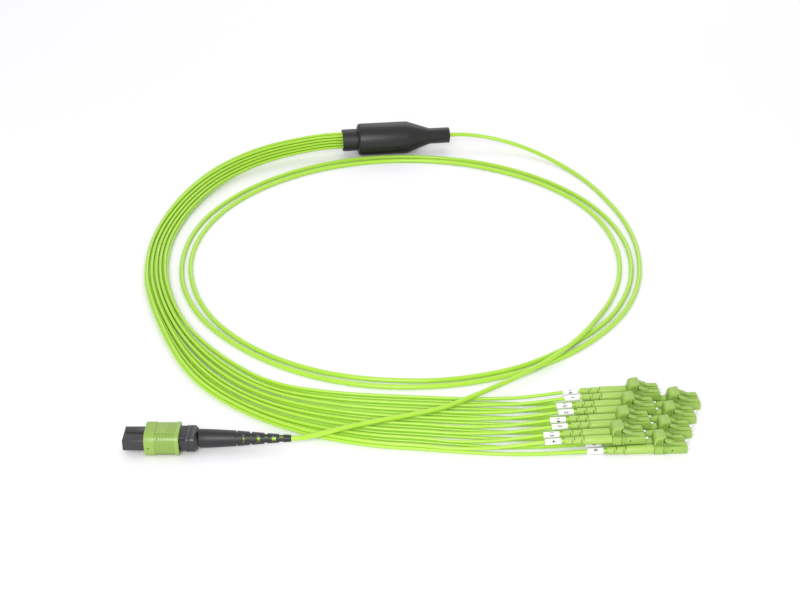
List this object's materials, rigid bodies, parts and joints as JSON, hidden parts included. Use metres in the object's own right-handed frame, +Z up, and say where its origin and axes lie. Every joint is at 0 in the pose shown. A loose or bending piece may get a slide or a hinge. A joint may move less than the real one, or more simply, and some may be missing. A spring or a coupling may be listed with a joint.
{
  "type": "fibre breakout cable",
  "caption": "Fibre breakout cable laid in a flat loop: a flat multi-fibre plug, a trunk cord, a moulded breakout body, and single legs that end in duplex plugs.",
  "frame": {"origin": "on the floor, under the middle of the box around the plugs and the breakout body", "axes": "+Z up; +X from the multi-fibre plug's side towards the duplex plugs, which point 3.5 degrees off it; +Y towards the breakout body"},
  "size_m": [0.3481, 0.4098, 0.0248],
  "materials": {
    "lime_jacket": "satin extruded jacket",
    "green_plastic": "satin moulded plastic",
    "black_plastic": "satin moulded plastic",
    "black_rubber": "soft satin rubber"
  },
  "bodies": {
    "cable": {"trunk_cord": "lime_jacket", "leg_cord_01": "lime_jacket", "leg_cord_02": "lime_jacket", "leg_cord_03": "lime_jacket", "leg_cord_04": "lime_jacket", "leg_cord_05": "lime_jacket", "leg_cord_06": "lime_jacket", "leg_cord_07": "lime_jacket", "leg_cord_08": "lime_jacket", "leg_cord_09": "lime_jacket", "leg_cord_10": "lime_jacket", "leg_cord_11": "lime_jacket", "leg_cord_12": "lime_jacket", "leg_cord_13": "lime_jacket", "leg_cord_14": "lime_jacket", "leg_cord_15": "lime_jacket", "leg_cord_16": "lime_jacket", "lc_plug_01": "green_plastic", "lc_plug_02": "green_plastic", "lc_plug_03": "green_plastic", "lc_plug_04": "green_plastic", "lc_plug_05": "green_plastic", "lc_plug_06": "green_plastic", "lc_plug_07": "green_plastic", "lc_plug_08": "green_plastic", "lc_plug_09": "green_plastic", "lc_plug_10": "green_plastic", "lc_plug_11": "green_plastic", "lc_plug_12": "green_plastic", "lc_plug_13": "green_plastic", "lc_plug_14": "green_plastic", "lc_plug_15": "green_plastic", "lc_plug_16": "green_plastic", "duplex_clip_1": "green_plastic", "duplex_clip_2": "green_plastic", "duplex_clip_3": "green_plastic", "duplex_clip_4": "green_plastic", "duplex_clip_5": "green_plastic", "duplex_clip_6": "green_plastic", "duplex_clip_7": "green_plastic", "duplex_clip_8": "green_plastic", "breakout_body": "black_plastic", "leg_collar": "black_rubber", "mpo_housing": "black_plastic", "mpo_ferrule": "black_plastic", "mpo_rear_body": "black_plastic", "mpo_boot": "black_rubber"},
    "coupling_sleeve": {"mpo_coupling": "green_plastic"}
  },
  "joints": [
    {"name": "coupling_slide", "type": "slide", "parent": "cable", "child": "coupling_sleeve", "axis": [1, 0, 0], "range_m": [0, 0.0025], "stiffness_N_per_m": 600}
  ]
}
